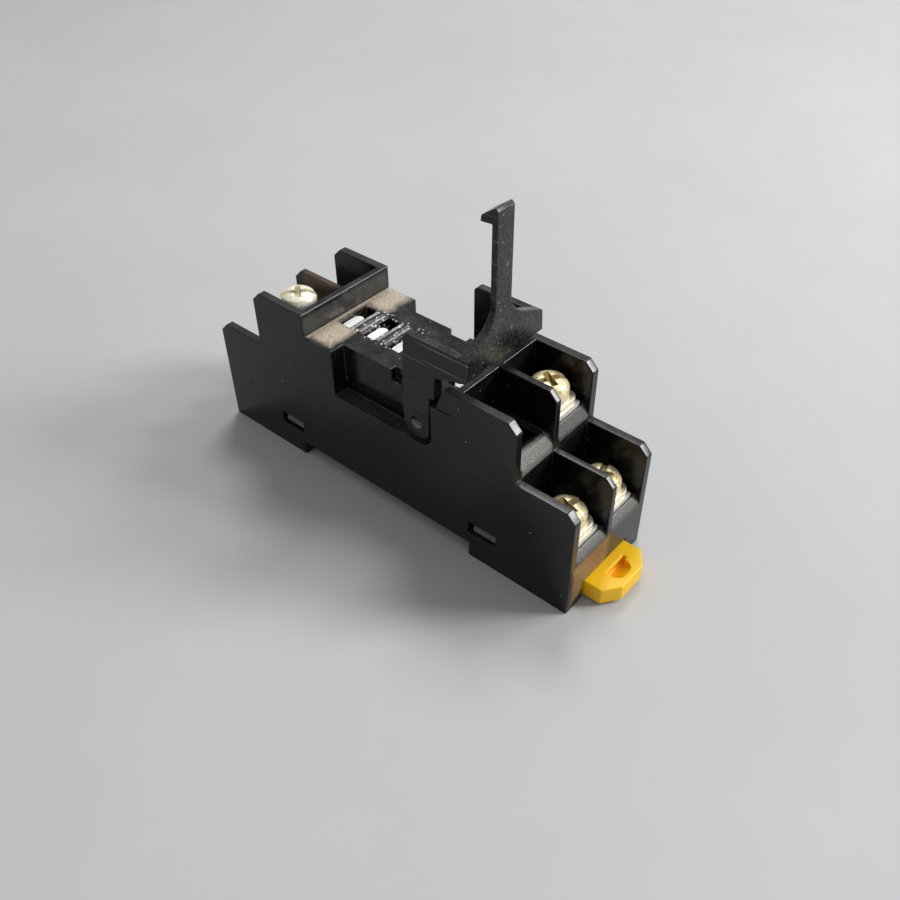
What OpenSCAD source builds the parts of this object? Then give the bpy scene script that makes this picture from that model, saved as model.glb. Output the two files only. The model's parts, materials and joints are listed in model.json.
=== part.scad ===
// Rail-mounted relay socket, one pole wide: a narrow stepped moulding with
// five screw terminals, a seat for a 29 mm plug-in relay, a hook lever that
// holds the relay down and a sliding latch that grips a 35 mm rail.
//
// X runs along the moulding, the latch end is +X. Y runs across it. Z runs up
// from the middle of the face that sits on the rail. Heights below are
// measured from the feet, and on_rail() moves each finished sub-part down.

/* [Housing] */
// Overall length of the moulding (mm)
body_length = 71; // [66:0.5:76]
// Overall width of the moulding (mm)
body_width = 18.8; // [17:0.1:22]
// Length of the taller middle step (mm)
upper_length = 51; // [46:0.5:56]
// Height of the low end walls (mm)
lower_height = 19; // [16:0.25:20]
// Height of the middle walls (mm)
upper_height = 28.8; // [27:0.1:32]
// Thickness of the two long side walls (mm)
side_wall = 1.45; // [1.2:0.05:1.8]
// Thickness of the wall between the two rows (mm)
middle_wall = 1.1; // [0.8:0.1:1.6]
// Thickness of the walls across the seat ends (mm)
cross_wall = 1.15; // [0.8:0.05:1.6]
// Cut on the outer top corners (mm)
corner_cut = 1.45; // [0.5:0.05:2]
// Thickness of floors and roofs inside (mm)
skin = 1.5; // [1:0.1:2]

/* [Rail channel] */
// Width of the channel for the rail (mm)
rail_gap = 35.4; // [35.2:0.1:36]
// Depth of the channel (mm)
rail_depth = 2.5; // [2.2:0.1:3]
// Thickness of the hooks that reach under the rail (mm)
rail_hook = 0.95; // [0.6:0.05:1.1]
// Reach of the fixed hook under the rail (mm)
hook_in = 1.2; // [0.6:0.1:1.6]

/* [Relay seat] */
// Clear length between the two cross walls (mm)
seat_length = 29; // [28.6:0.1:30]
// Height of the platform the relay stands on (mm)
seat_height = 24.9; // [24:0.1:26]
// Length of the full-width shoulder at the far end (mm)
shoulder = 5.8; // [4:0.1:8]
// Width of the narrowed block beside the lever (mm)
block_width = 13.5; // [13:0.1:14]
// Height of the ledge the lever folds into (mm)
ledge_height = 16.85; // [16:0.05:18]
// Long side of a contact slot (mm)
slot_long = 5.7; // [5.4:0.1:6.6]
// Short side of a contact slot (mm)
slot_short = 2.4; // [2.1:0.1:2.8]
// Distance between contact slots (mm)
slot_pitch = 5.1; // [5:0.05:5.5]
// Position of the first contact slot (mm)
slot_first = -12.4; // [-13:0.1:-12]
// Position of the two coil slots (mm)
coil_slot = 10.4; // [9:0.1:11.5]
// Coil slots, offset either side of the middle (mm)
coil_offset = 2.4; // [2:0.1:2.8]
// Length of the edge notches (mm)
notch_length = 3.6; // [2:0.1:4]
// Depth of the edge notches below the platform (mm)
notch_depth = 1.9; // [1:0.1:3]

/* [Release lever] */
// Lever pivot, position along the body (mm)
pivot_x = 8; // [7.5:0.05:8.5]
// Lever pivot, height (mm)
pivot_z = 20.3; // [19.5:0.1:21]
// Radius of the pivot stubs (mm)
pivot_radius = 1; // [0.8:0.05:1.3]
// Width of the round end of a lever leg (mm)
leg_width = 5.2; // [4.6:0.1:5.4]
// Half width of the lever at the top of its cheeks (mm)
lever_half = 8.2; // [8:0.05:8.6]
// Half width of the lever at the pivot (mm)
foot_half = 9.15; // [8.8:0.05:9.3]
// Top of the lever cheeks (mm)
cheek_top = 33.9; // [33:0.1:35]
// Outer face of the cross bar (mm)
bar_x = 16.35; // [16:0.05:17]
// Top of the lever arm (mm)
arm_top = 52.5; // [50:0.1:54]
// Width of the lever arm (mm)
arm_width = 3.4; // [3:0.1:4]
// Thickness of the lever arm (mm)
arm_thick = 0.95; // [0.8:0.05:1.4]
// Underside of the holding hook (mm)
hook_height = 50.1; // [49:0.1:51]
// Reach of the holding hook (mm)
hook_reach = 1.85; // [1.2:0.05:2.5]

/* [Terminals] */
// Floor of the lower terminal bays (mm)
lower_floor = 10; // [9:0.1:11]
// Floor of the upper terminal bays (mm)
upper_floor = 21.75; // [21:0.05:22.5]
// Thickness of the terminal strips (mm)
strip_thick = 0.8; // [0.6:0.05:1]
// Distance from a bay mouth to its screw (mm)
screw_inset = 4.65; // [4:0.05:5.5]
// Side of the square clamp washers (mm)
washer_side = 6.3; // [5.5:0.1:7]
// Thickness of the clamp washers (mm)
washer_thick = 1.2; // [0.8:0.05:1.4]
// Screw head diameter (mm)
head_diameter = 5.8; // [5:0.1:6]
// Screw head height (mm)
head_height = 2.85; // [2:0.05:3]
// Screw thread diameter (mm)
thread_diameter = 3; // [2.5:0.5:4]
// Thread pitch (mm)
thread_pitch = 0.5; // [0.4:0.05:0.7]
// Screw length under the head (mm)
screw_length = 7; // [6:0.5:8]
// Amount the upper left screw is backed off (mm)
backed_off = 1.6; // [0:0.1:2]

/* [Rail latch] */
// Width of the pull tab (mm)
tab_width = 10.4; // [9:0.1:11]
// How far the tab stands out of the body (mm)
tab_reach = 4.7; // [4:0.1:6]
// Top of the pull tab (mm)
tab_top = 3.3; // [3:0.05:3.6]
// Underside of the latch (mm)
latch_under = 0.5; // [0.3:0.05:0.8]
// Width of the sliding tongue (mm)
tongue_width = 9; // [8:0.1:10]
// Thickness of the spring strip (mm)
spring_thick = 0.35; // [0.3:0.05:0.5]

/* [Hidden] */
$fn = 48;
far = 60;
hair = 0.05;
play = 0.1;

half_length = body_length / 2;
half_width = body_width / 2;
half_upper = upper_length / 2;
half_seat = seat_length / 2;
half_gap = rail_gap / 2;
row_in = middle_wall / 2;
row_out = half_width - side_wall;
row_mid = (row_in + row_out) / 2;
wall_in = half_seat + cross_wall;
end_in = half_length - skin;
step_in = half_upper - skin + 0.1;
bay_drop_low = 1.1;
bay_drop_high = 1.6;

shoulder_x = shoulder - half_seat;
block_half = block_width / 2;
roof_half = 4.2;
notch_x = 1;
slot_a = slot_first;
slot_b = slot_first + slot_pitch;
slot_c = slot_first + 2 * slot_pitch;

recess_corner = 2.2;
recess_x = pivot_x + leg_width / 2 + play;
leg_half = leg_width / 2;
leg_back = leg_half + 0.33;
leg_front = leg_half - 0.5;
cheek_front = leg_half + 0.33;
stop_floor = seat_height - 0.1;
stop_height = seat_height + 0.5;
cheek_in = block_half + 0.15;
bar_under = 30.1;
arm_x = half_seat + 0.3;

lower_screw = half_length - screw_inset;
upper_screw = half_upper - screw_inset;
lower_seat = lower_floor + strip_thick;
upper_seat = upper_floor + strip_thick;
plate_half = 2.9;
plate_in = 4.2;
plate_out = 3.4;
well_radius = 2;

drop_x = 16.1;
drop_out = drop_x + strip_thick;
run_low = 7.2;
lane_in = 5.5;
lane_out = 7.2;
coil_half = 1.2;
coil_y0 = coil_offset - coil_half;
coil_y1 = coil_offset + coil_half;
left_y0 = 0.75;
left_y1 = 3.1;
tongue_half = 2.3;
tongue_top = 15.5;
clip_half = slot_long / 2 - play;
clip_foot = 11.3;
clip_top = 24.3;
bridge_half = 0.95;

cover_top = rail_depth + skin;
plate_under = rail_depth + 0.2;
pad_half = half_gap - hook_in - 0.1;
cover_x = end_in - play;
cover_y = row_out - play;
window_in = half_gap - 0.15;
window_out = window_in + 5.1;
window_low = cover_top + 0.45;
window_high = cover_top + 2.8;

tab_half = tab_width / 2;
tab_end = half_length + tab_reach;
tab_back = end_in - 0.6;
tongue_y = tongue_width / 2;
spring_room_in = 20.2;
spring_room_out = 31.6;
spring_post = 28.2;

black = [0.09, 0.09, 0.1];
grey_black = [0.15, 0.15, 0.16];
yellow = [0.98, 0.76, 0.02];
plated = [0.82, 0.82, 0.8];
bronze = [0.74, 0.62, 0.38];
gold = [0.86, 0.76, 0.48];
steel = [0.7, 0.71, 0.72];

// ---------- helpers ----------

// Child outline drawn in X and Z, pulled from y0 to y1.
module between_y(y0, y1) {
    translate([0, y1, 0])
        rotate([90, 0, 0])
            linear_extrude(height = y1 - y0)
                children();
}

// Child outline drawn in Y and Z, pulled from x0 to x1.
module between_x(x0, x1) {
    translate([x0, 0, 0])
        rotate([90, 0, 90])
            linear_extrude(height = x1 - x0)
                children();
}

// Box given by its two corners.
module block(x0, x1, y0, y1, z0, z1) {
    translate([x0, y0, z0])
        cube([x1 - x0, y1 - y0, z1 - z0]);
}

// Opening around a strip, with play all round it in X and Y.
module way(x0, x1, y0, y1, z0, z1) {
    block(x0 - play, x1 + play, y0 - play, y1 + play, z0, z1);
}

// Puts the rail face on z = 0.
module on_rail() {
    translate([0, 0, -rail_depth])
        children();
}

module both_sides() {
    children();
    mirror([0, 1, 0])
        children();
}

module both_ends() {
    children();
    mirror([1, 0, 0])
        children();
}

// ---------- housing ----------

module side_outline() {
    polygon([
        [-half_length, 0], [-half_gap, 0],
        [-half_gap, rail_depth], [half_gap, rail_depth],
        [half_gap, 0], [half_length, 0],
        [half_length, lower_height - corner_cut],
        [half_length - corner_cut, lower_height],
        [half_upper, lower_height],
        [half_upper, upper_height - corner_cut],
        [half_upper - corner_cut, upper_height],
        [corner_cut - half_upper, upper_height],
        [-half_upper, upper_height - corner_cut],
        [-half_upper, lower_height],
        [corner_cut - half_length, lower_height],
        [-half_length, lower_height - corner_cut]
    ]);
}

// One terminal bay, open at the top and at its mouth.
module bay(inner, mouth, floor_z, drop) {
    between_y(row_in, row_out)
        polygon([
            [inner, floor_z], [mouth - 1, floor_z],
            [mouth, floor_z - drop], [mouth + 1, floor_z - drop],
            [mouth + 1, far], [inner, far]
        ]);
}

module all_bays() {
    both_sides()
        both_ends() {
            bay(wall_in, half_upper, upper_floor, bay_drop_high);
            bay(half_upper, half_length, lower_floor, bay_drop_low);
        }
}

// Room above the platform between the cross walls.
module seat_room() {
    block(-half_seat, half_seat, -row_out, row_out, seat_height, far);
    block(-half_seat, shoulder_x + 1, -far, far, seat_height, far);
}

// Side recess that shows the lever leg and takes the folded lever.
module lever_recess() {
    between_y(block_half, half_width + 1)
        union() {
            polygon([
                [shoulder_x, ledge_height],
                [recess_x - recess_corner, ledge_height],
                [recess_x, ledge_height + recess_corner],
                [recess_x, stop_floor], [recess_x + 0.9, stop_floor],
                [half_seat - 2.2, seat_height + 1.6],
                [half_seat - 1.3, upper_height],
                [half_seat - 1.3, far], [shoulder_x, far]
            ]);
            translate([recess_x - recess_corner, ledge_height + recess_corner])
                circle(r = recess_corner);
        }
}

module edge_notch() {
    between_y(block_half - 1.1, block_half + 1)
        polygon([
            [notch_x, seat_height - notch_depth],
            [notch_x + notch_length, seat_height - notch_depth - 0.7],
            [notch_x + notch_length, far], [notch_x, far]
        ]);
}

// Snap stub the lever leg clicks on to, ramped on its upper outer side.
module pivot_stub() {
    stub_end = half_width - play;
    stub_root = block_half - 0.5;
    difference() {
        translate([pivot_x, stub_root, pivot_z])
            rotate([-90, 0, 0])
                cylinder(r = pivot_radius, h = stub_end - stub_root);
        translate([pivot_x, stub_end, pivot_z + 0.15])
            rotate([40, 0, 0])
                translate([-3, 0, 0])
                    cube([6, 3, 3]);
    }
}

module contact_slot(x) {
    block(x - slot_short / 2, x + slot_short / 2, -slot_long / 2,
        slot_long / 2, seat_height - skin - 1, seat_height + 1);
}

module coil_slots() {
    both_sides()
        block(coil_slot - coil_half, coil_slot + coil_half,
            coil_y0 - 0.2, coil_y1 + 0.2,
            seat_height - skin - 1, seat_height + 1);
}

// Hollow that takes the strips and clips from below.
module inner_hollow() {
    block(-end_in, end_in, -row_out, row_out, -1, lower_floor - skin);
    block(-step_in, step_in, -row_out, row_out, 0, ledge_height - skin);
    both_ends()
        block(half_seat - 0.3, step_in, -row_out, row_out, 4,
            upper_floor - skin);
    difference() {
        block(1 - half_seat, half_seat - 1, -roof_half, roof_half, 4,
            seat_height - skin);
        // partitions between the clips
        for (x = [slot_a + 2.5, slot_b + 2.5, slot_c + 2.2, coil_slot - 2.2])
            block(x - 0.5, x + 0.5, -far, far, lower_floor + 2, far);
    }
}

// Openings that let each strip reach its bay.
module strip_ways() {
    low_z = lower_floor - 0.1;
    low_top = lower_seat + 0.2;
    roof = upper_floor - skin - 0.2;
    way(drop_x, drop_out, coil_y0, coil_y1, roof, upper_floor + 0.2);
    way(-drop_out, -drop_x, -left_y1, -left_y0, roof, upper_floor + 0.2);
    way(step_in - 1, half_upper + 0.5, -coil_y1, -coil_y0, low_z, low_top);
    way(step_in - 1, half_upper + 0.5, lane_in, lane_out, low_z, low_top);
    way(-half_upper - 0.5, 1 - step_in, -lane_out, -lane_in, low_z, low_top);
}

// Drop holes below the five tapped plates.
module screw_wells() {
    for (p = [[lower_screw, row_mid], [lower_screw, -row_mid],
            [-lower_screw, -row_mid]])
        translate([p[0], p[1], lower_floor - skin - 1])
            cylinder(r = well_radius, h = skin + 2);
    for (p = [[upper_screw, row_mid], [-upper_screw, -row_mid]])
        translate([p[0], p[1], upper_floor - skin - 1])
            cylinder(r = well_radius, h = skin + 2);
}

// Floor openings of the three bays that carry no terminal.
module spare_ways() {
    y0 = 1.6;
    y1 = 6.9;
    upper_in = wall_in + 1;
    upper_out = half_upper - 2.3;
    block(upper_in, upper_out, -y1, -y0, upper_floor - skin - 1,
        upper_floor + 0.3);
    block(-upper_out, -upper_in, y0, y1, upper_floor - skin - 1,
        upper_floor + 0.3);
    block(2.5 - half_length, -half_upper - 1.1, y0, y1,
        lower_floor - skin - 1, lower_floor + 0.3);
}

module side_windows() {
    both_sides()
        both_ends()
            block(window_in, window_out, row_out - 1, half_width + 1,
                window_low, window_high);
}

// Fine groove beside the lever on each outer side.
module side_groove() {
    both_sides()
        block(recess_x - 0.1, half_seat + 0.25, half_width - 0.15,
            half_width + 1, seat_height - 0.1, seat_height + 0.15);
}

// Fine ridges between the contact slots.
module seat_ridges() {
    for (x = [slot_a + slot_pitch / 2, slot_b + slot_pitch / 2])
        for (k = [-1 : 1])
            block(x + 0.75 * k - 0.13, x + 0.75 * k + 0.13, -slot_long / 2,
                slot_long / 2, seat_height - 0.1, seat_height + 0.15);
}

// Way out for the latch under the end wall.
module latch_way() {
    block(end_in - 1, half_length + 1, -tab_half - 0.3, tab_half + 0.3,
        -1, tab_top + 0.15);
}

module housing() {
    color(black)
        on_rail() {
            difference() {
                between_y(-half_width, half_width)
                    side_outline();
                all_bays();
                seat_room();
                both_sides() {
                    lever_recess();
                    edge_notch();
                }
                inner_hollow();
                contact_slot(slot_a);
                contact_slot(slot_b);
                contact_slot(slot_c);
                coil_slots();
                strip_ways();
                screw_wells();
                spare_ways();
                side_windows();
                side_groove();
                latch_way();
            }
            both_sides()
                pivot_stub();
            seat_ridges();
        }
}

// ---------- base cover ----------

// Sloped barb that snaps into a side window.
module snap_barb() {
    root = cover_y - 1.2;
    tip = cover_y + 0.85;
    between_x(window_in + 0.5, window_out - 0.3)
        polygon([
            [root, cover_top - 1], [cover_y, cover_top - 1],
            [cover_y, window_low + 0.15], [tip, window_low + 0.3],
            [tip, window_low + 0.95], [cover_y, window_high - 0.1],
            [root, window_high - 0.1]
        ]);
}

// Foot at the fixed end, with two hollows in its underside.
module fixed_foot() {
    difference() {
        block(-cover_x, -half_gap, -cover_y, cover_y, 0, cover_top);
        for (y = [-5.2, 0.4])
            block(1.2 - cover_x, -half_gap - 1.4, y, y + 4.8, -1,
                rail_depth);
    }
}

// Hook that reaches under the edge of the rail.
module fixed_hook() {
    tip = hook_in - half_gap;
    between_y(-6.5, 6.5)
        polygon([
            [-half_gap - 0.5, 0], [tip - 0.5, 0], [tip, 0.5],
            [tip, rail_hook], [-half_gap - 0.5, rail_hook]
        ]);
}

// Foot beside the latch, undercut to guide its tongue.
module latch_guide() {
    between_x(half_gap, cover_x)
        polygon([
            [tongue_y + play, cover_top], [tongue_y + play, 1.6],
            [tongue_y - 0.5, 1.3], [tongue_y - 0.5, 0], [cover_y, 0],
            [cover_y, cover_top]
        ]);
}

// Post that holds a strip up, from the plate to its underside.
module strip_post(x, y0, y1, strip_z) {
    block(x - 0.7, x + 0.7, y0, y1, cover_top - 0.1, strip_z - hair);
}

module base_cover() {
    color(grey_black)
        on_rail() {
            difference() {
                union() {
                    block(-cover_x, cover_x, -cover_y, cover_y, plate_under,
                        cover_top);
                    // raised face that sits on the rail
                    block(-pad_half, pad_half, -cover_y, cover_y,
                        rail_depth, cover_top);
                    fixed_foot();
                    fixed_hook();
                    both_sides() {
                        latch_guide();
                        both_ends()
                            snap_barb();
                    }
                    strip_post(13.3, coil_y0, coil_y1, run_low);
                    strip_post(13.3, -coil_y1, -coil_y0, lower_floor);
                    strip_post(-14.3, -left_y1, -left_y0, run_low);
                    strip_post(-12.1, -lane_out, -lane_in, lower_floor);
                    strip_post(slot_c, 2, lane_out, lower_floor);
                }
                // room for the latch head under the end
                block(tab_back - 0.6, half_length, -tab_half - 0.3,
                    tab_half + 0.3, -1, tab_top + 0.15);
            }
            // post the latch spring leans on
            block(spring_post, spring_post + 1.2, -1.2, 1.2,
                latch_under + 0.3, plate_under + 0.1);
        }
}

// ---------- rail latch ----------

module tab_outline() {
    polygon([
        [tab_back, -tab_half], [tab_end - 1.9, -tab_half],
        [tab_end, 2.6 - tab_half], [tab_end, tab_half - 2.6],
        [tab_end - 1.9, tab_half], [tab_back, tab_half]
    ]);
}

// Hollow for a screwdriver tip: a slot on the body side that runs out into
// a round slope.
module tool_dimple() {
    slot_x = half_length + 1.4;
    floor_z = tab_top - 1.3;
    block(slot_x, slot_x + 0.6, -0.8, 2.6, floor_z, far);
    intersection() {
        translate([slot_x + 0.6, 0, floor_z])
            cylinder(r = 1.9, h = 3);
        between_y(-4, 4)
            polygon([
                [slot_x, floor_z], [slot_x + 0.6, floor_z],
                [slot_x + 2.5, tab_top + 0.1], [slot_x, tab_top + 0.1]
            ]);
    }
}

// Tongue, narrower below where the guides reach in.
module latch_tongue() {
    narrow = tongue_y - 0.6;
    top_z = rail_depth - 0.1;
    between_x(half_gap + 0.3, tab_back + 0.1)
        polygon([
            [-tongue_y, top_z], [-tongue_y, 1.75], [-narrow, 1.45],
            [-narrow, latch_under], [narrow, latch_under],
            [narrow, 1.45], [tongue_y, 1.75], [tongue_y, top_z]
        ]);
}

// Nose under the rail, ramped below so it rides over its edge.
module latch_nose() {
    tip = half_gap - 1.2;
    between_y(0.6 - tongue_y, tongue_y - 0.6)
        polygon([
            [half_gap + 0.4, latch_under], [tip + 0.5, latch_under],
            [tip, latch_under + 0.35], [tip, rail_hook],
            [half_gap + 0.4, rail_hook]
        ]);
}

module rail_latch() {
    color(yellow)
        on_rail()
            difference() {
                union() {
                    translate([0, 0, latch_under])
                        linear_extrude(height = tab_top - latch_under)
                            tab_outline();
                    latch_tongue();
                    latch_nose();
                }
                // window for the spring and its post
                block(spring_room_in, spring_room_out, -3.4, 3.4, 0,
                    tab_top + 1);
                tool_dimple();
            }
}

// ---------- latch spring ----------

// Half ring that joins two passes of the spring.
module spring_bend(x, y, turn, gap) {
    translate([x, y])
        rotate([0, 0, turn])
            intersection() {
                difference() {
                    circle(d = gap + spring_thick, $fn = 24);
                    circle(d = gap - spring_thick, $fn = 24);
                }
                translate([-far, 0])
                    square([2 * far, far]);
            }
}

// Zigzag strip pressed between the latch window and the cover post.
module spring_outline() {
    gap = 1.6;
    reach = 1.9;
    foot = spring_room_in + hair;
    first = foot + 0.95;
    last = first + 4 * gap;
    for (k = [0 : 4])
        translate([first + k * gap - spring_thick / 2, -reach])
            square([spring_thick, 2 * reach]);
    for (k = [0, 2])
        spring_bend(first + (k + 0.5) * gap, reach, 0, gap);
    for (k = [1, 3])
        spring_bend(first + (k + 0.5) * gap, -reach, 180, gap);
    translate([foot, -reach])
        square([first - foot, spring_thick]);
    translate([last, reach - spring_thick])
        square([spring_post - hair - last, spring_thick]);
    translate([spring_post - hair - 0.3, -0.9])
        square([0.3, reach + 0.9]);
}

module latch_spring() {
    color(steel)
        on_rail()
            translate([0, 0, latch_under + 0.35])
                linear_extrude(height = 1.3)
                    spring_outline();
}

// ---------- release lever ----------

// Side view of a cheek with its leg. The leg steps back below the wall top,
// so that the step stops the lever when it is pulled open.
module cheek_outline() {
    difference() {
        union() {
            translate([pivot_x, pivot_z])
                circle(r = leg_half);
            polygon([
                [pivot_x - leg_half, pivot_z], [pivot_x + leg_half, pivot_z],
                [pivot_x + cheek_front, stop_height],
                [pivot_x + cheek_front, bar_under - 1.05],
                [bar_x - 1.6, bar_under], [bar_x, bar_under + 0.5],
                [bar_x, cheek_top], [pivot_x - leg_back + 0.6, cheek_top],
                [pivot_x - leg_back, cheek_top - 0.6],
                [pivot_x - leg_back, pivot_z + 2]
            ]);
        }
        translate([pivot_x + leg_front, 0])
            square([far, stop_height]);
        pivot_hole();
    }
}

module pivot_hole() {
    translate([pivot_x, pivot_z])
        circle(r = pivot_radius + hair);
}

// Low round boss about the pivot hole, on the outer face of the leg.
module pivot_boss() {
    between_y(foot_half - 0.3, foot_half + 0.1)
        difference() {
            translate([pivot_x, pivot_z])
                circle(r = leg_front - 0.2);
            pivot_hole();
        }
}

// Section across one cheek, which spreads towards the pivot.
module cheek_section() {
    polygon([
        [cheek_in, 0], [foot_half, 0], [foot_half, pivot_z - 1],
        [lever_half, cheek_top], [lever_half, far], [cheek_in, far]
    ]);
}

// Front view of half the bar and arm with its spreading foot.
module arm_front() {
    half = arm_width / 2;
    polygon([
        [0, bar_under], [lever_half, bar_under], [lever_half, cheek_top],
        [3.5, cheek_top + 2], [2.6, cheek_top + 2.9],
        [half, cheek_top + 4.1], [half, arm_top - 0.2],
        [half - 0.4, far], [0, far]
    ]);
}

// Side view of the bar, the arm and the hook.
module arm_side() {
    outer = arm_x + arm_thick;
    polygon([
        [arm_x, bar_under], [bar_x, bar_under + 0.5],
        [bar_x, cheek_top + 0.2], [outer, cheek_top + 4.1],
        [outer, arm_top - 0.5], [outer - 0.35, arm_top],
        [arm_x + 0.4, arm_top],
        [arm_x - hook_reach + 0.1, hook_height + 0.9],
        [arm_x - hook_reach, hook_height], [arm_x, hook_height + 0.15]
    ]);
}

module release_lever() {
    color(black)
        on_rail() {
            both_sides() {
                intersection() {
                    between_y(block_half, half_width)
                        cheek_outline();
                    between_x(0, 20)
                        cheek_section();
                }
                pivot_boss();
            }
            intersection() {
                between_x(arm_x - 4, bar_x + 1)
                    union() {
                        arm_front();
                        mirror([1, 0])
                            arm_front();
                    }
                between_y(-lever_half, lever_half)
                    arm_side();
            }
        }
}

// ---------- terminals ----------

// Screw plate with a tapped hole, longer towards the middle.
module screw_plate(x, y, z) {
    s = sign(x);
    difference() {
        block(min(x - s * plate_in, x + s * plate_out),
            max(x - s * plate_in, x + s * plate_out),
            y - plate_half, y + plate_half, z, z + strip_thick);
        translate([x, y, z - 1])
            cylinder(d = thread_diameter + 2 * hair, h = strip_thick + 2);
    }
}

// Upright tongue the clip grips.
module tongue(x, y0, y1) {
    block(x - strip_thick / 2, x + strip_thick / 2, y0, y1, lower_floor,
        tongue_top);
}

// Strip that drops from an upper bay and runs in to its clip.
module dropped_strip(x_clip, y0, y1) {
    t = strip_thick;
    clip_out = x_clip + t / 2;
    screw_plate(upper_screw, row_mid, upper_floor);
    between_y(y0, y1)
        polygon([
            [drop_x + 2, upper_floor], [drop_x + 2, upper_seat],
            [drop_x, upper_seat], [drop_x, run_low + t],
            [clip_out, run_low + t], [clip_out, tongue_top],
            [clip_out - t, tongue_top], [clip_out - t, run_low],
            [drop_out, run_low], [drop_out, upper_floor]
        ]);
}

module terminal_coil_far() {
    color(plated)
        on_rail()
            dropped_strip(coil_slot, coil_y0, coil_y1);
}

module terminal_coil_near() {
    color(plated)
        on_rail() {
            screw_plate(lower_screw, -row_mid, lower_floor);
            block(coil_slot - strip_thick / 2, lower_screw - 3, -coil_y1,
                -coil_y0, lower_floor, lower_seat);
            tongue(coil_slot, -coil_y1, -coil_y0);
        }
}

module terminal_contact_a() {
    color(plated)
        on_rail()
            mirror([1, 0, 0])
                mirror([0, 1, 0])
                    dropped_strip(-slot_a, left_y0, left_y1);
}

// Strip that runs along the outer lane and turns in to its clip.
module lane_strip(x_plate, x_clip) {
    plate_end = x_plate - sign(x_plate) * 3;
    block(min(x_clip - strip_thick / 2, plate_end),
        max(x_clip + strip_thick / 2, plate_end),
        lane_in, lane_out, lower_floor, lower_seat);
    block(x_clip - strip_thick / 2, x_clip + strip_thick / 2,
        -tongue_half, lane_in + 0.1, lower_floor, lower_seat);
    tongue(x_clip, -tongue_half, tongue_half);
}

module terminal_contact_b() {
    color(plated)
        on_rail()
            mirror([0, 1, 0]) {
                screw_plate(-lower_screw, row_mid, lower_floor);
                lane_strip(-lower_screw, slot_b);
            }
}

module terminal_contact_c() {
    color(plated)
        on_rail() {
            screw_plate(lower_screw, row_mid, lower_floor);
            lane_strip(lower_screw, slot_c);
        }
}

// ---------- contact clips ----------

// Half section of a clip leaf: grips the tongue, necks in, then flares.
module clip_leaf() {
    grip = strip_thick / 2 + 0.02;
    polygon([
        [grip, clip_foot], [0.8, clip_foot], [0.8, tongue_top + 1],
        [0.6, clip_top - 3.8], [bridge_half, clip_top - 0.5],
        [0.55, clip_top - 0.5], [0.22, clip_top - 3.8],
        [grip, tongue_top + 1]
    ]);
}

// Two sprung leaves joined by a rounded bridge at the top.
module contact_clip(x, y0, y1, bridge_y0, bridge_y1) {
    color(bronze)
        on_rail()
            translate([x, 0, 0]) {
                between_y(y0, y1)
                    union() {
                        clip_leaf();
                        mirror([1, 0])
                            clip_leaf();
                    }
                translate([0, 0, clip_top - 0.6])
                    linear_extrude(height = 0.6)
                        bridge_outline(bridge_y0 + bridge_half,
                            bridge_y1 - bridge_half);
            }
}

module bridge_outline(y0, y1) {
    translate([-bridge_half, y0])
        square([2 * bridge_half, y1 - y0]);
    for (y = [y0, y1])
        translate([0, y])
            circle(r = bridge_half, $fn = 32);
}

module clip_coil_far() {
    contact_clip(coil_slot, coil_y0, coil_y1, coil_y0 - 0.05,
        coil_y1 - 0.5);
}

module clip_coil_near() {
    contact_clip(coil_slot, -coil_y1, -coil_y0, 0.5 - coil_y1,
        0.05 - coil_y0);
}

module clip_contact_a() {
    contact_clip(slot_a, -clip_half, clip_half, -clip_half, 1.05);
}

module clip_contact_b() {
    contact_clip(slot_b, -clip_half, clip_half, -clip_half, 1.05);
}

module clip_contact_c() {
    contact_clip(slot_c, -clip_half, clip_half, -clip_half, 1.05);
}

// ---------- washers and screws ----------

// Square with rounded corners.
module round_square(side, r) {
    square([side, side - 2 * r], center = true);
    square([side - 2 * r, side], center = true);
    for (a = [-1, 1])
        for (b = [-1, 1])
            translate([a * (side / 2 - r), b * (side / 2 - r)])
                circle(r = r);
}

// Clamp washer with a round raised face on top.
module clamp_washer(x, y, z) {
    color(gold)
        on_rail()
            translate([x, y, z])
                difference() {
                    union() {
                        linear_extrude(height = washer_thick - 0.25)
                            round_square(washer_side, 1.5);
                        cylinder(d = washer_side - 0.4, h = washer_thick);
                    }
                    translate([0, 0, -1])
                        cylinder(d = thread_diameter + 0.3,
                            h = washer_thick + 2);
                }
}

module washer_coil_far() {
    clamp_washer(upper_screw, row_mid, upper_seat);
}

module washer_coil_near() {
    clamp_washer(lower_screw, -row_mid, lower_seat);
}

module washer_contact_a() {
    clamp_washer(-upper_screw, -row_mid, upper_seat);
}

module washer_contact_b() {
    clamp_washer(-lower_screw, -row_mid, lower_seat);
}

module washer_contact_c() {
    clamp_washer(lower_screw, row_mid, lower_seat);
}

// Half section of a pan-head screw with a relieved neck.
module screw_section() {
    r = head_diameter / 2;
    t = thread_diameter / 2;
    neck = t - 0.3;
    h = head_height;
    polygon([
        [0, -screw_length], [t - 0.5, -screw_length],
        [t, 0.6 - screw_length], [t, -4 * thread_pitch],
        [neck, -3.4 * thread_pitch], [neck, 0], [r, 0], [r, h - 1.2],
        [r - 0.4, h - 0.45], [r - 1.3, h], [0, h]
    ]);
}

// Screw with a through slot and a shorter cross slot, turned as set.
module terminal_screw(x, y, z, turn) {
    slot_half = 0.45;
    color(gold)
        on_rail()
            translate([x, y, z])
                rotate([0, 0, turn])
                    difference() {
                        rotate_extrude()
                            screw_section();
                        block(-head_diameter, head_diameter, -slot_half,
                            slot_half, head_height - 1.1, far);
                        block(-slot_half, slot_half, -1.7, 1.7,
                            head_height - 1.3, far);
                    }
}

module screw_coil_far() {
    terminal_screw(upper_screw, row_mid, upper_seat + washer_thick, 62);
}

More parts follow.
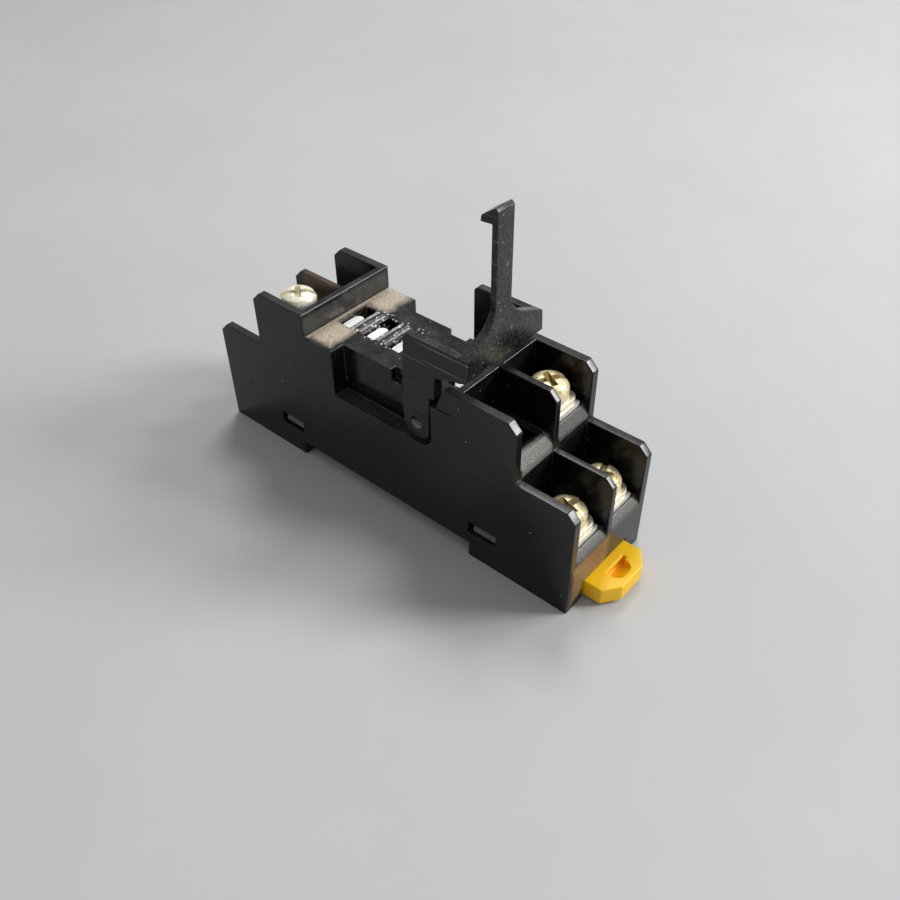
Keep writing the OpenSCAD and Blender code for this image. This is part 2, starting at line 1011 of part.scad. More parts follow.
module screw_coil_near() {
    terminal_screw(lower_screw, -row_mid, lower_seat + washer_thick, 75);
}

module screw_contact_a() {
    terminal_screw(-upper_screw, -row_mid,
        upper_seat + washer_thick + backed_off, 50);
}

module screw_contact_b() {
    terminal_screw(-lower_screw, -row_mid, lower_seat + washer_thick, 15);
}

module screw_contact_c() {
    terminal_screw(lower_screw, row_mid, lower_seat + washer_thick, 110);
}

// ---------- assembly ----------

housing();
base_cover();
release_lever();
rail_latch();
latch_spring();
terminal_coil_far();
terminal_coil_near();
terminal_contact_a();
terminal_contact_b();
terminal_contact_c();
clip_coil_far();
clip_coil_near();
clip_contact_a();
clip_contact_b();
clip_contact_c();
washer_coil_far();
washer_coil_near();
washer_contact_a();
washer_contact_b();
washer_contact_c();
screw_coil_far();
screw_coil_near();
screw_contact_a();
screw_contact_b();
screw_contact_c();
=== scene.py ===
import json
from math import radians

import bmesh
import bpy
from mathutils import Matrix, Vector

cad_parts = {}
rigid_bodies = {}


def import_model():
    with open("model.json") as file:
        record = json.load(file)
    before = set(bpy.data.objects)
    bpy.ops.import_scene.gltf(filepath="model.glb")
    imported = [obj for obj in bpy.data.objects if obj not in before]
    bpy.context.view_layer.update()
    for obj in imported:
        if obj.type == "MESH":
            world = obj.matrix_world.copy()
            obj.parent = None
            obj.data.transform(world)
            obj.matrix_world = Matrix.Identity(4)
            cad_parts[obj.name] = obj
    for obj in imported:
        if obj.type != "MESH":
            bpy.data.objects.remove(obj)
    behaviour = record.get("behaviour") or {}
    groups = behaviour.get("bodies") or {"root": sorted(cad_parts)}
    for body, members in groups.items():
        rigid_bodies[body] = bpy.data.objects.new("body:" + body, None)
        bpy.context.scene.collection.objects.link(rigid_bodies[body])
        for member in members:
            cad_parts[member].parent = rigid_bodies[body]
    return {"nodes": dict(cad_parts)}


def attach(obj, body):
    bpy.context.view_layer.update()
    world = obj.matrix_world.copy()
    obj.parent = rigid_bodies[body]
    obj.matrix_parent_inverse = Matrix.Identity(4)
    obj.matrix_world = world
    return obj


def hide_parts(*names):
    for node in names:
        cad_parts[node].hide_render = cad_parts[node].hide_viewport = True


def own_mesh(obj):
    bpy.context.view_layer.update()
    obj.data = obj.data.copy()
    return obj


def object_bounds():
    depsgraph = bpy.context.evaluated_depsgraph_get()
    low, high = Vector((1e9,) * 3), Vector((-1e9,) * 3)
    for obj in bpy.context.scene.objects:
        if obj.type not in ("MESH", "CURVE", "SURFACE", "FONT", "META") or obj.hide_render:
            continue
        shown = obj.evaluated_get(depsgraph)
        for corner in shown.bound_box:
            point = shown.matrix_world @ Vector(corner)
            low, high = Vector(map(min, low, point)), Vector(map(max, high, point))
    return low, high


# Relay socket on a pale bench: the moulded parts get eased edges, every
# surface gets its finish, and the light and camera are set at the end.

MM = 0.001

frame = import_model()
nodes = frame["nodes"]
cad_low, cad_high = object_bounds()

TERMINALS = ("coil_far", "coil_near", "contact_a", "contact_b", "contact_c")

# Corners closer than this are one corner, and faces that turn less than this
# against each other are one flat face (mm, degrees).
SAME_CORNER = 0.002
FLAT_WITHIN = 0.8
# Edges that turn more than this are eased (degrees).
SHARP_FROM = 28

# Painted-shade hollow for a tool in the latch's top (low corner, high corner, mm).
TOOL_HOLLOW = ((36.0, -2.2, -2.0), (39.3, 2.8, 0.55))

# The contact clips lie in shade past this, across the body (mm).
CLIP_SHADE_FROM = 1.1

# Depth of all fine relief in the finishes (m).
RELIEF = 0.00003

# Camera: lens and sensor (mm), place (mm), and the directions of its right
# side and its back.
LENS = 37.46
SENSOR = 36.0
CAMERA_PLACE = (78.301, -82.973, 102.197)
CAMERA_RIGHT = (0.76036, 0.64942, -0.01010)
CAMERA_BACK = (0.49261, -0.56650, 0.66062)

# Lamps: name, place (m), width (m) and power (W). All aim at one point.
LAMPS = (
    ("key", (-0.20, 0.32, 0.64), 0.26, 1.9),
    ("side", (0.41, 0.35, 0.30), 0.20, 2.5),
    ("back", (0.25, 0.43, 0.56), 0.16, 0.9),
)
LAMP_AIM = (0, 0, 0.01)

SKY = (0.80, 0.82, 0.85, 1)
SKY_LEVEL = 0.45
FLOOR_SIZE = 6
FLOOR_GREYS = ((0.50, 0.50, 0.50, 1), (0.55, 0.55, 0.545, 1))


# ---------------------------------------------------------------- edge work

def make_active(piece):
    """Leaves this piece, and no other, picked out to be worked on."""
    for thing in bpy.context.view_layer.objects:
        thing.select_set(False)
    piece.select_set(True)
    bpy.context.view_layer.objects.active = piece


def settle(piece):
    """Applies every modifier of a piece, in order."""
    make_active(piece)
    for step in list(piece.modifiers):
        bpy.ops.object.modifier_apply(modifier=step.name)


def cast_from(node, name):
    """A merged copy of a node's shape, with its flat faces made whole."""
    shell = bmesh.new()
    shell.from_mesh(nodes[node].data)
    bmesh.ops.remove_doubles(shell, verts=shell.verts, dist=SAME_CORNER * MM)
    bmesh.ops.dissolve_limit(
        shell, angle_limit=radians(FLAT_WITHIN), verts=shell.verts,
        edges=shell.edges, use_dissolve_boundaries=False)
    mesh = bpy.data.meshes.new(name)
    shell.to_mesh(mesh)
    shell.free()
    piece = bpy.data.objects.new(name, mesh)
    bpy.context.scene.collection.objects.link(piece)
    return piece


def ease_edges(piece, width, segments):
    """Rounds the sharp edges as a mould or a press leaves them."""
    bevel = piece.modifiers.new("eased edges", "BEVEL")
    bevel.width = width
    bevel.segments = segments
    bevel.limit_method = "ANGLE"
    bevel.angle_limit = radians(SHARP_FROM)
    bevel.use_clamp_overlap = False
    bevel.miter_outer = "MITER_SHARP"
    settle(piece)
    make_active(piece)
    bpy.ops.object.shade_smooth()
    weigh = piece.modifiers.new("flat faces", "WEIGHTED_NORMAL")
    weigh.keep_sharp = True
    settle(piece)
    return piece


def stand_for(piece, node, body):
    """Puts a finished piece in a node's place, on the node's body."""
    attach(piece, body)
    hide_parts(node)


# ---------------------------------------------------------------- finishes

class Wiring:
    """Short hand for placing and joining nodes in one node tree."""

    def __init__(self, tree):
        self.tree = tree

    def add(self, kind, **values):
        node = self.tree.nodes.new(kind)
        for key, value in values.items():
            setattr(node, key, value)
        return node

    def join(self, source, target):
        self.tree.links.new(source, target)

    def feed(self, target, value):
        if isinstance(value, bpy.types.NodeSocket):
            self.join(value, target)
        else:
            target.default_value = value

    def math(self, operation, a, b=0.0, clamp=False):
        node = self.add("ShaderNodeMath", operation=operation,
                        use_clamp=clamp)
        self.feed(node.inputs[0], a)
        self.feed(node.inputs[1], b)
        return node.outputs[0]

    def noise(self, vector, scale, detail=4.0, roughness=0.55):
        node = self.add("ShaderNodeTexNoise")
        self.join(vector, node.inputs["Vector"])
        self.feed(node.inputs["Scale"], scale)
        self.feed(node.inputs["Detail"], detail)
        self.feed(node.inputs["Roughness"], roughness)
        return node.outputs["Fac"]

    def ramp(self, value, low, high, out_low=0.0, out_high=1.0):
        node = self.add("ShaderNodeMapRange", clamp=True)
        self.feed(node.inputs["Value"], value)
        self.feed(node.inputs["From Min"], low)
        self.feed(node.inputs["From Max"], high)
        self.feed(node.inputs["To Min"], out_low)
        self.feed(node.inputs["To Max"], out_high)
        return node.outputs["Result"]

    def mix(self, amount, first, second):
        node = self.add("ShaderNodeMix", data_type="RGBA")
        self.feed(node.inputs[0], amount)
        self.feed(node.inputs[6], first)
        self.feed(node.inputs[7], second)
        return node.outputs[2]

    def relief(self, height, strength, shader):
        """Feeds a height to the shader's normal as shallow relief."""
        bump = self.add("ShaderNodeBump")
        bump.inputs["Strength"].default_value = strength
        bump.inputs["Distance"].default_value = RELIEF
        self.join(height, bump.inputs["Height"])
        self.join(bump.outputs[0], shader.inputs["Normal"])

    def upward(self):
        """How far the surface looks up, from 0 to 1."""
        surface = self.add("ShaderNodeNewGeometry")
        split = self.add("ShaderNodeSeparateXYZ")
        self.join(surface.outputs["Normal"], split.inputs[0])
        return self.ramp(split.outputs["Z"], 0.25, 0.9)

    def off_side(self):
        """Low on faces that look along Y, 1 on all others."""
        surface = self.add("ShaderNodeNewGeometry")
        split = self.add("ShaderNodeSeparateXYZ")
        self.join(surface.outputs["Normal"], split.inputs[0])
        sideways = self.math("ABSOLUTE", split.outputs["Y"])
        return self.ramp(sideways, 0.5, 0.9, 1.0, 0.2)

    def stretch(self, vector, scale, turn=(0.0, 0.0, 0.0)):
        node = self.add("ShaderNodeMapping")
        self.join(vector, node.inputs["Vector"])
        node.inputs["Scale"].default_value = scale
        node.inputs["Rotation"].default_value = turn
        return node.outputs["Vector"]


def new_effect(name, inputs, outputs):
    """A shader node group with named float or vector sockets."""
    tree = bpy.data.node_groups.new(name, "ShaderNodeTree")
    for label, default in inputs:
        kind = "NodeSocketVector" if default is None else "NodeSocketFloat"
        socket = tree.interface.new_socket(
            name=label, in_out="INPUT", socket_type=kind)
        if default is not None:
            socket.default_value = default
    for label in outputs:
        tree.interface.new_socket(
            name=label, in_out="OUTPUT", socket_type="NodeSocketFloat")
    wires = Wiring(tree)
    return tree, wires, wires.add("NodeGroupInput"), wires.add(
        "NodeGroupOutput")


def make_edge_rub():
    """Mask of the outer edges, where handling has rubbed the surface."""
    tree, wires, given, result = new_effect(
        "edge_rub", [("Vector", None), ("Width", 0.0003), ("Amount", 1.0)],
        ["Mask"])
    rounded = wires.add("ShaderNodeBevel", samples=6)
    wires.join(given.outputs["Width"], rounded.inputs["Radius"])
    surface = wires.add("ShaderNodeNewGeometry")
    facing = wires.add("ShaderNodeVectorMath", operation="DOT_PRODUCT")
    wires.join(rounded.outputs["Normal"], facing.inputs[0])
    wires.join(surface.outputs["Normal"], facing.inputs[1])
    turn = wires.math("SUBTRACT", 1.0, facing.outputs["Value"])
    band = wires.ramp(turn, 0.01, 0.2)
    patchy = wires.noise(given.outputs["Vector"], 900.0, 5.0, 0.65)
    broken = wires.ramp(patchy, 0.38, 0.62, 0.15, 1.0)
    both = wires.math("MULTIPLY", band, broken)
    wires.join(wires.math("MULTIPLY", both, given.outputs["Amount"], True),
               result.inputs["Mask"])
    return tree


def make_settled_dust():
    """Mask of dust that lies on faces that look up, in cloudy patches."""
    tree, wires, given, result = new_effect(
        "settled_dust", [("Vector", None), ("Amount", 0.5)], ["Mask"])
    cloudy = wires.noise(given.outputs["Vector"], 260.0, 6.0, 0.62)
    patches = wires.ramp(cloudy, 0.40, 0.72)
    grain = wires.noise(given.outputs["Vector"], 5200.0, 3.0, 0.7)
    grains = wires.ramp(grain, 0.42, 0.66, 0.25, 1.0)
    cover = wires.math("MULTIPLY", patches, grains)
    cover = wires.math("MULTIPLY", cover, wires.upward())
    wires.join(wires.math("MULTIPLY", cover, given.outputs["Amount"], True),
               result.inputs["Mask"])
    return tree


def make_dust_and_light_patch():
    """Mask of a soft-edged box with a grainy fill, for dust and painted light."""
    tree, wires, given, result = new_effect(
        "dust_and_light_patch", [("Vector", None), ("Low", None), ("High", None),
                       ("Soft", 0.0005), ("Amount", 1.0)], ["Mask"])
    above = wires.add("ShaderNodeVectorMath", operation="SUBTRACT")
    wires.join(given.outputs["Vector"], above.inputs[0])
    wires.join(given.outputs["Low"], above.inputs[1])
    below = wires.add("ShaderNodeVectorMath", operation="SUBTRACT")
    wires.join(given.outputs["High"], below.inputs[0])
    wires.join(given.outputs["Vector"], below.inputs[1])
    inside = wires.add("ShaderNodeVectorMath", operation="MINIMUM")
    wires.join(above.outputs[0], inside.inputs[0])
    wires.join(below.outputs[0], inside.inputs[1])
    split = wires.add("ShaderNodeSeparateXYZ")
    wires.join(inside.outputs[0], split.inputs[0])
    depth = wires.math("MINIMUM", wires.math(
        "MINIMUM", split.outputs["X"], split.outputs["Y"]),
        split.outputs["Z"])
    ragged = wires.noise(given.outputs["Vector"], 500.0, 5.0, 0.6)
    depth = wires.math("ADD", depth, wires.math(
        "MULTIPLY", wires.math("SUBTRACT", ragged, 0.5),
        given.outputs["Soft"]))
    box = wires.ramp(depth, 0.0, given.outputs["Soft"])
    grain = wires.noise(given.outputs["Vector"], 3800.0, 4.0, 0.7)
    grains = wires.ramp(grain, 0.36, 0.60, 0.35, 1.0)
    cover = wires.math("MULTIPLY", box, grains)
    wires.join(wires.math("MULTIPLY", cover, given.outputs["Amount"], True),
               result.inputs["Mask"])
    return tree


def make_fine_specks():
    """Mask of scattered round specks, a given share of the cells."""
    tree, wires, given, result = new_effect(
        "fine_specks", [("Vector", None), ("Scale", 900.0), ("Share", 0.2),
                        ("Size", 0.1)], ["Mask"])
    dots = wires.add("ShaderNodeTexVoronoi", feature="F1")
    wires.join(given.outputs["Vector"], dots.inputs["Vector"])
    wires.join(given.outputs["Scale"], dots.inputs["Scale"])
    near = wires.math("LESS_THAN", dots.outputs["Distance"],
                      given.outputs["Size"])
    pick = wires.add("ShaderNodeSeparateXYZ")
    wires.join(dots.outputs["Color"], pick.inputs[0])
    chosen = wires.math("LESS_THAN", pick.outputs["X"],
                        given.outputs["Share"])
    wires.join(wires.math("MULTIPLY", near, chosen), result.inputs["Mask"])
    return tree


def make_hairlines():
    """Fine scratches that run mostly along the piece."""
    tree, wires, given, result = new_effect(
        "hairlines", [("Vector", None), ("Scale", 1.0)], ["Lines"])
    scaled = wires.add("ShaderNodeVectorMath", operation="SCALE")
    wires.join(given.outputs["Vector"], scaled.inputs[0])
    wires.join(given.outputs["Scale"], scaled.inputs["Scale"])
    lines = None
    for turn in (0.15, -0.4, 1.2):
        way = wires.stretch(scaled.outputs[0], (40.0, 1800.0, 1500.0),
                            (turn, turn * 0.5, turn))
        one = wires.ramp(wires.noise(way, 1.0, 2.0, 0.5), 0.69, 0.74)
        lines = one if lines is None else wires.math("MAXIMUM", lines, one)
    wires.join(lines, result.inputs["Lines"])
    return tree


EDGE_RUB = make_edge_rub()
SETTLED_DUST = make_settled_dust()
DUST_AND_LIGHT_PATCH = make_dust_and_light_patch()
FINE_SPECKS = make_fine_specks()
HAIRLINES = make_hairlines()


def begin_finish(name):
    """A new material, its wiring, its shader and the place it reads."""
    finish = bpy.data.materials.new(name)
    finish.use_nodes = True
    wires = Wiring(finish.node_tree)
    shader = finish.node_tree.nodes["Principled BSDF"]
    place = wires.add("ShaderNodeTexCoord").outputs["Object"]
    return finish, wires, shader, place


def effect(wires, tree, place, **values):
    """Places a shared effect in a material, with its own values."""
    node = wires.add("ShaderNodeGroup")
    node.node_tree = tree
    wires.join(place, node.inputs["Vector"])
    for label, value in values.items():
        node.inputs[label].default_value = value
    return node.outputs[0]


def in_metres(point):
    """A place given in mm, as the finishes want it."""
    return [v * MM for v in point]


def patches_of_dust_and_light(wires, place, patches):
    """The strongest cover that a list of patches gives at each point."""
    cover = None
    for low, high, soft, amount in patches:
        one = effect(wires, DUST_AND_LIGHT_PATCH, place, Low=in_metres(low),
                     High=in_metres(high), Soft=soft * MM, Amount=amount)
        cover = one if cover is None else wires.math("MAXIMUM", cover, one)
    return cover


# Where dust has gathered and where light or shade is painted, as (low
# corner, high corner, soft edge, amount), all in mm but the amount.

# Pale dust on the platform, along the foot of the far cross wall.
BODY_TAN = (
    ((-17.0, -8.9, 20.8), (-9.2, -2.2, 24.0), 1.2, 1.0),
    ((-17.0, 2.9, 20.8), (-9.0, 11.0, 24.0), 1.6, 1.0),
    ((-15.6, -9.0, 21.9), (-13.7, 9.0, 22.9), 0.3, 1.0),
)
# Brown on the row divider, a painted reflection of the gold screws; brown
# over the end wall above the latch; brown dust on the first slot's wall.
BODY_BROWN = (
    ((-24.4, -2.2, 19.0), (-15.8, 2.2, 27.8), 1.4, 0.16),
    ((34.4, -9.0, -1.6), (36.6, 0.7, 6.4), 1.1, 0.50),
    ((-13.8, -3.9, 20.0), (-12.7, 3.9, 23.4), 0.8, 0.40),
)
BODY_GREY = (
    # tops of the long walls: thin dust and painted reflection of the light above
    ((-25.6, -9.3, 26.1), (25.6, -7.9, 26.6), 0.3, 0.16),
    ((-25.6, 7.9, 26.1), (25.6, 9.3, 26.6), 0.3, 0.16),
    ((-35.6, -9.3, 16.3), (-25.4, 9.3, 16.8), 0.3, 0.16),
    ((25.4, -9.3, 16.3), (35.6, 9.3, 16.8), 0.3, 0.16),
    # lips of the bays at the latch end
    ((23.6, -7.9, 16.4), (26.5, -0.6, 19.8), 0.5, 0.80),
    ((24.1, 0.6, 17.0), (25.9, 7.9, 19.8), 0.4, 0.40),
    ((34.0, -7.9, 5.9), (35.9, -0.6, 8.0), 0.4, 0.36),
    ((34.0, 0.6, 5.9), (35.9, 7.9, 8.0), 0.4, 0.36),
    # ledge under the lever, its stub, and the far cross wall's face
    ((-8.9, -9.3, 14.0), (10.9, -6.6, 14.7), 0.6, 0.22),
    ((6.7, -10.1, 16.5), (9.3, -9.1, 19.1), 0.2, 0.60),
    ((-16.4, -9.3, 22.4), (-14.0, 9.3, 25.8), 0.8, 0.30),
)
# Bright specks between the contact slots, and painted highlights along the
# ridge tops there.
BODY_SPECKS = (((-11.4, -3.6, 21.0), (-0.9, 4.0, 24.2), 0.6, 1.0),)
RIDGE_GLINTS = tuple(
    ((x - 0.17, -2.8, 22.42), (x + 0.17, 2.8, 22.9), 0.06, 1.0)
    for x in (-10.6, -9.1, -5.5, -4.0))
# Dust on what the side windows show of the cover.
COVER_GREY = (
    ((-23.0, -9.5, 1.5), (-17.0, 9.5, 4.4), 0.3, 0.6),
    ((17.0, -9.5, 1.5), (23.0, 9.5, 4.4), 0.3, 0.6),
)

TAN = (0.68, 0.57, 0.43, 1)
BROWN = (0.60, 0.36, 0.17, 1)
GREY_DUST_AND_SHEEN = (0.34, 0.33, 0.30, 1)
HAZE_GREY = (0.30, 0.30, 0.28, 1)
RUBBED_GREY = (0.34, 0.34, 0.33, 1)
SCRATCH_GREY = (0.50, 0.50, 0.48, 1)
PALE_SPECK = (0.88, 0.87, 0.82, 1)
PALE_MOTE = (0.62, 0.61, 0.58, 1)

AMBER = ((1.0, 0.53, 0.0, 1), (1.0, 0.61, 0.0, 1))
AMBER_RUBBED = (1.0, 0.84, 0.06, 1)
AMBER_DUSTY = (0.60, 0.40, 0.14, 1)
AMBER_HOLLOW_SHADE = (1.0, 0.34, 0.0, 1)

PLATE_RUBBED = (1.0, 0.97, 0.88, 1)
PLATE_BLOOM = (0.92, 0.89, 0.80, 1)
PLATE_STAIN = (0.50, 0.29, 0.10, 1)
PLATE_SHADE = (0.02, 0.02, 0.018, 1)


def black_moulding(name, base, dust, rub, roughness, haze, scratch,
                   grey=(), tan=(), brown=(), glints=(), specks=()):
    """Near-black glossy plastic, with dust where it has gathered.

    dust, rub, haze and scratch say how much of each lies all over. The
    lists that follow hold patches of dust and of painted light: grey and
    brown are partly painted reflection, glints are painted highlights.
    """
    finish, wires, shader, place = begin_finish(name)
    rubbed = effect(wires, EDGE_RUB, place, Width=0.0003, Amount=rub)
    film = effect(wires, SETTLED_DUST, place, Amount=dust)
    lines = effect(wires, HAIRLINES, place, Scale=1.0)
    motes = effect(wires, FINE_SPECKS, place, Scale=700.0, Share=0.10,
                   Size=0.07)
    tone = wires.ramp(wires.noise(place, 120.0, 5.0), 0.3, 0.7)
    colour = wires.mix(tone, (*base, 1), (*[c * 1.6 for c in base], 1))
    grain = wires.math("MULTIPLY", wires.ramp(
        wires.noise(place, 2400.0, 5.0, 0.7), 0.42, 0.66), wires.ramp(
            wires.noise(place, 210.0, 4.0, 0.6), 0.30, 0.70, 0.3, 1.0))
    grain = wires.math("MULTIPLY", grain, wires.off_side())
    colour = wires.mix(wires.math("MULTIPLY", grain, haze), colour,
                       HAZE_GREY)
    colour = wires.mix(wires.math("MULTIPLY", rubbed, 0.25), colour,
                       RUBBED_GREY)
    colour = wires.mix(wires.math("MULTIPLY", lines, scratch), colour,
                       SCRATCH_GREY)
    cover = film
    if grey:
        cover = wires.math("MAXIMUM", cover,
                           patches_of_dust_and_light(wires, place, grey))
    # grey: dust, and on the wall tops also a painted reflection of the light above
    colour = wires.mix(cover, colour, GREY_DUST_AND_SHEEN)
    if brown:
        # brown mask: dust on the slot wall, painted reflection of the gold screws on the
        # row divider
        brown_cover = patches_of_dust_and_light(wires, place, brown)
        colour = wires.mix(brown_cover, colour, BROWN)
        cover = wires.math("MAXIMUM", cover, brown_cover)
    if tan:
        heaps = wires.math("MULTIPLY", patches_of_dust_and_light(wires, place, tan),
                           wires.upward())
        colour = wires.mix(heaps, colour, TAN)
        cover = wires.math("MAXIMUM", cover, heaps)
    if glints:
        # painted highlights along the ridge tops between the slots
        crest_highlights = patches_of_dust_and_light(wires, place, glints)
        colour = wires.mix(crest_highlights, colour, PALE_SPECK)
    if specks:
        zone = patches_of_dust_and_light(wires, place, specks)
        # pale specks scattered over the zone between the contact slots
        pale_specks = effect(wires, FINE_SPECKS, place, Scale=1700.0, Share=0.50,
                      Size=0.34)
        pale_specks = wires.math("MULTIPLY", pale_specks, zone)
        colour = wires.mix(pale_specks, colour, PALE_SPECK)
    colour = wires.mix(wires.math("MULTIPLY", motes, 0.7), colour,
                       PALE_MOTE)
    wires.join(colour, shader.inputs["Base Color"])
    satin = wires.ramp(wires.noise(place, 700.0, 6.0, 0.6), 0.3, 0.7,
                       roughness - 0.06, roughness + 0.08)
    rough = wires.math("ADD", satin, wires.math("MULTIPLY", cover, 0.6),
                       True)
    wires.join(rough, shader.inputs["Roughness"])
    shader.inputs["Specular IOR Level"].default_value = 0.36
    skin = wires.noise(place, 2600.0, 4.0, 0.6)
    height = wires.math("ADD", wires.math("MULTIPLY", skin, 0.4),
                        wires.math("MULTIPLY", cover, 0.8))
    height = wires.math("SUBTRACT", height,
                        wires.math("MULTIPLY", lines, 0.12))
    wires.relief(height, 0.25, shader)
    return finish


def amber_moulding():
    """Warm yellow plastic of the pull latch, with painted shade in the tool hollow."""
    finish, wires, shader, place = begin_finish("amber_plastic")
    rubbed = effect(wires, EDGE_RUB, place, Width=0.0003, Amount=1.0)
    film = effect(wires, SETTLED_DUST, place, Amount=0.15)
    tone = wires.ramp(wires.noise(place, 180.0, 5.0), 0.3, 0.7)
    colour = wires.mix(tone, *AMBER)
    colour = wires.mix(wires.math("MULTIPLY", rubbed, 0.5), colour,
                       AMBER_RUBBED)
    colour = wires.mix(wires.math("MULTIPLY", film, 0.4), colour,
                       AMBER_DUSTY)
    low, high = TOOL_HOLLOW
    # painted shade: deeper orange in the tool hollow
    hollow = patches_of_dust_and_light(wires, place, ((low, high, 0.4, 0.55),))
    colour = wires.mix(hollow, colour, AMBER_HOLLOW_SHADE)
    wires.join(colour, shader.inputs["Base Color"])
    wires.join(wires.ramp(wires.noise(place, 900.0, 5.0), 0.3, 0.7,
                          0.30, 0.42), shader.inputs["Roughness"])
    shader.inputs["Subsurface Weight"].default_value = 0.06
    shader.inputs["Subsurface Radius"].default_value = (
        0.0010, 0.0005, 0.0001)
    shader.inputs["Subsurface Scale"].default_value = 1.0
    wires.relief(wires.noise(place, 2200.0, 4.0), 0.2, shader)
    return finish


def plated_metal(name, bright, dull, bloom, stain, roughness, sheen,
                 shade_from=None):
    """Plated metal: cloudy dulling, pale bloom and a few brown stains.

    shade_from is where, across the body in mm, the metal goes dark.
    """
    finish, wires, shader, place = begin_finish(name)
    rubbed = effect(wires, EDGE_RUB, place, Width=0.0002, Amount=1.0)
    clouds = wires.ramp(wires.noise(place, 520.0, 6.0, 0.65), 0.42, 0.68)
    salts = wires.ramp(wires.noise(place, 1500.0, 6.0, 0.7), 0.52, 0.64)
    salts = wires.math("MULTIPLY", salts, bloom)
    stains = wires.ramp(wires.noise(place, 700.0, 5.0, 0.6), 0.55, 0.66)
    stains = wires.math("MULTIPLY", stains, stain)
    colour = wires.mix(clouds, (*bright, 1), (*dull, 1))
    colour = wires.mix(wires.math("MULTIPLY", rubbed, 0.6), colour,
                       PLATE_RUBBED)
    colour = wires.mix(salts, colour, PLATE_BLOOM)
    colour = wires.mix(stains, colour, PLATE_STAIN)
    if shade_from is not None:
        split = wires.add("ShaderNodeSeparateXYZ")
        wires.join(place, split.inputs[0])
        shade = wires.ramp(split.outputs["Y"], shade_from * MM,
                           (shade_from + 0.3) * MM)
        colour = wires.mix(shade, colour, PLATE_SHADE)
    wires.join(colour, shader.inputs["Base Color"])
    wires.join(wires.math("SUBTRACT", sheen, wires.math(
        "MULTIPLY", salts, sheen * 0.7)), shader.inputs["Metallic"])
    rough = wires.math("ADD", wires.ramp(clouds, 0.0, 1.0, roughness,
                                         roughness + 0.18),
                       wires.math("MULTIPLY", salts, 0.3), True)
    wires.join(rough, shader.inputs["Roughness"])
    brushed = wires.noise(wires.stretch(place, (400.0, 6000.0, 3000.0)),
                          1.0, 3.0)
    wires.relief(wires.math("ADD", brushed, salts), 0.35, shader)
    return finish


def dress(piece, finish):
    """Gives a piece one finish all over."""
    piece.data.materials.clear()
    piece.data.materials.append(finish)


black_body = black_moulding(
    "black_body", (0.0035, 0.0035, 0.004), dust=0.24, rub=1.0,
    roughness=0.19, haze=0.03, scratch=0.02, grey=BODY_GREY, tan=BODY_TAN,
    brown=BODY_BROWN, glints=RIDGE_GLINTS, specks=BODY_SPECKS)
black_lever = black_moulding(
    "black_lever", (0.004, 0.004, 0.0045), dust=0.22, rub=1.0,
    roughness=0.24, haze=0.20, scratch=0.25)
black_cover = black_moulding(
    "black_cover", (0.008, 0.008, 0.0085), dust=0.3, rub=0.6,
    roughness=0.40, haze=0.03, scratch=0.05, grey=COVER_GREY)
amber = amber_moulding()
gold_screw = plated_metal(
    "gold_screw", (0.97, 0.86, 0.54), (0.90, 0.72, 0.38), bloom=0.6,
    stain=0.8, roughness=0.30, sheen=0.45)
pale_screw = plated_metal(
    "pale_screw", (0.98, 0.93, 0.76), (0.94, 0.86, 0.62), bloom=0.95,
    stain=0.35, roughness=0.38, sheen=0.25)
gold_washer = plated_metal(
    "gold_washer", (0.96, 0.90, 0.70), (0.88, 0.78, 0.52), bloom=0.55,
    stain=0.4, roughness=0.34, sheen=0.45)
tinned_strip = plated_metal(
    "tinned_strip", (0.90, 0.88, 0.82), (0.72, 0.68, 0.58), bloom=0.7,
    stain=0.3, roughness=0.34, sheen=0.5)
tinned_clip, shaded_clip = (
    plated_metal(name, (0.97, 0.97, 0.95), (0.92, 0.91, 0.87), bloom=0.8,
                 stain=0.0, roughness=0.40, sheen=0.3, shade_from=start)
    for name, start in (("tinned_clip", None),
                        ("shaded_clip", CLIP_SHADE_FROM)))
spring_steel = plated_metal(
    "spring_steel", (0.62, 0.62, 0.63), (0.45, 0.45, 0.46), bloom=0.1,
    stain=0.0, roughness=0.25, sheen=1.0)


# ---------------------------------------------------------------- pieces

def finish_piece(node, name, body, finish, edge, segments=2):
    """Makes the piece that stands for a node, with its edges eased (mm)."""
    piece = ease_edges(cast_from(node, name), edge * MM, segments)
    stand_for(piece, node, body)
    dress(piece, finish)
    return piece


finish_piece("housing", "socket_body", "base", black_body, 0.18)
finish_piece("base_cover", "underside_cover", "base",
             black_cover, 0.10)
finish_piece("release_lever", "hook_lever", "lever", black_lever,
             0.16)
finish_piece("rail_latch", "pull_latch", "latch", amber, 0.22, 3)
for terminal in TERMINALS:
    # The screw of contact_a stands backed off and has gone pale.
    plating = pale_screw if terminal == "contact_a" else gold_screw
    clip = shaded_clip if terminal.startswith("contact") else tinned_clip
    finish_piece(f"washer_{terminal}", f"square_washer_{terminal}",
                 f"washer_{terminal}", gold_washer, 0.10)
    finish_piece(f"screw_{terminal}", f"pan_head_{terminal}",
                 f"screw_{terminal}", plating, 0.12, 3)
    dress(nodes[f"terminal_{terminal}"], tinned_strip)
    dress(nodes[f"clip_{terminal}"], clip)

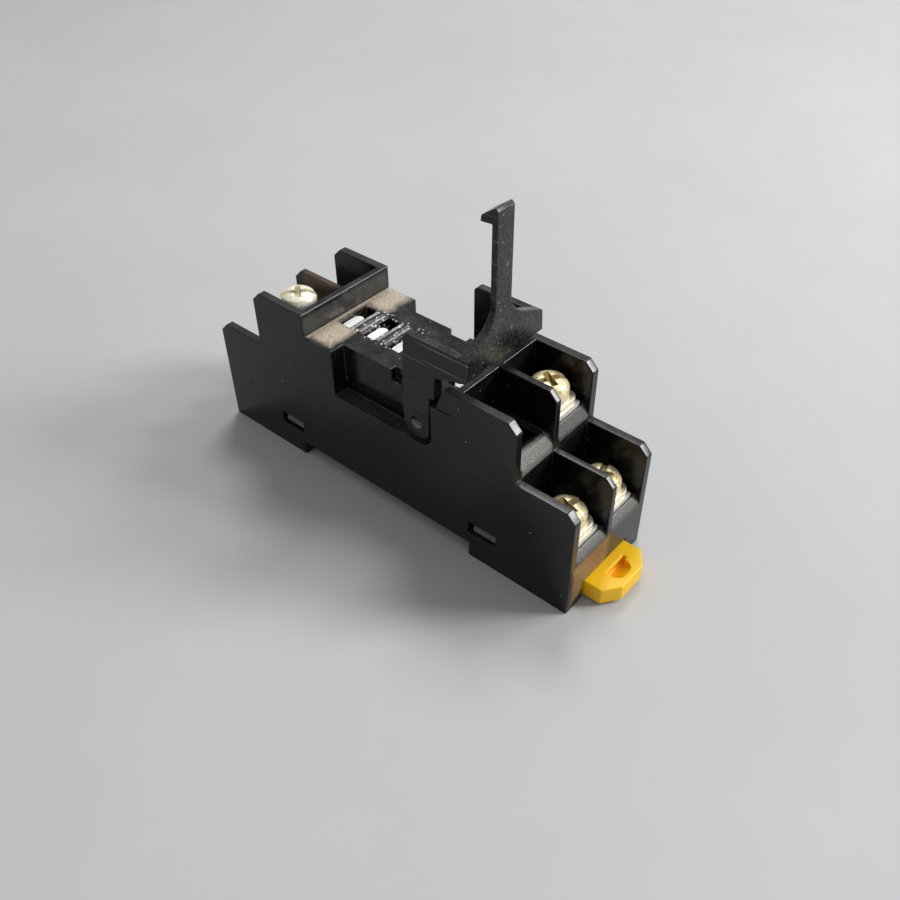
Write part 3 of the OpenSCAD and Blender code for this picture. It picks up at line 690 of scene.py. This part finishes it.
# The spring leans on its post, 28.2 mm along the body, and is pressed to about
# three quarters of its length as the latch is pulled right out.
spring = finish_piece("latch_spring", "folded_spring", "base",
                      spring_steel, 0.05)
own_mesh(spring)


# ---------------------------------------------------------------- stage

def plain_floor():
    """A pale, faintly mottled bench top under the socket's feet."""
    finish, wires, shader, place = begin_finish("bench_top")
    mottle = wires.ramp(wires.noise(place, 9.0, 6.0, 0.6), 0.3, 0.7)
    colour = wires.mix(mottle, *FLOOR_GREYS)
    wires.join(colour, shader.inputs["Base Color"])
    shader.inputs["Roughness"].default_value = 0.75
    bpy.ops.mesh.primitive_plane_add(size=FLOOR_SIZE,
                                     location=(0, 0, cad_low.z))
    floor = bpy.context.object
    floor.name = "bench"
    dress(floor, finish)


def soft_lamp(name, place, width, power):
    """A round lamp with soft shadows, turned to the socket."""
    lamp = bpy.data.lights.new(name, "AREA")
    lamp.shape = "DISK"
    lamp.size = width
    lamp.energy = power
    stand = bpy.data.objects.new(name, lamp)
    stand.location = place
    aim = Vector(LAMP_AIM) - Vector(place)
    stand.rotation_euler = aim.to_track_quat("-Z", "Y").to_euler()
    bpy.context.scene.collection.objects.link(stand)


def set_camera():
    """Looks down on the socket from the latch end's near corner."""
    eye = bpy.data.cameras.new("camera")
    eye.lens = LENS
    eye.sensor_width = SENSOR
    eye.clip_start = 0.01
    holder = bpy.data.objects.new("camera", eye)
    right = Vector(CAMERA_RIGHT).normalized()
    back = Vector(CAMERA_BACK).normalized()
    up = back.cross(right)
    turned = Matrix((right, up, back)).transposed().to_4x4()
    holder.matrix_world = Matrix.Translation(
        Vector(CAMERA_PLACE) * MM) @ turned
    bpy.context.scene.collection.objects.link(holder)
    bpy.context.scene.camera = holder


def set_world():
    """Even, slightly cool light from all around."""
    world = bpy.data.worlds.new("studio")
    bpy.context.scene.world = world
    world.use_nodes = True
    backdrop = world.node_tree.nodes["Background"]
    backdrop.inputs["Color"].default_value = SKY
    backdrop.inputs["Strength"].default_value = SKY_LEVEL


plain_floor()
for lamp_values in LAMPS:
    soft_lamp(*lamp_values)
set_camera()
set_world()
bpy.context.scene.view_settings.view_transform = "Standard"
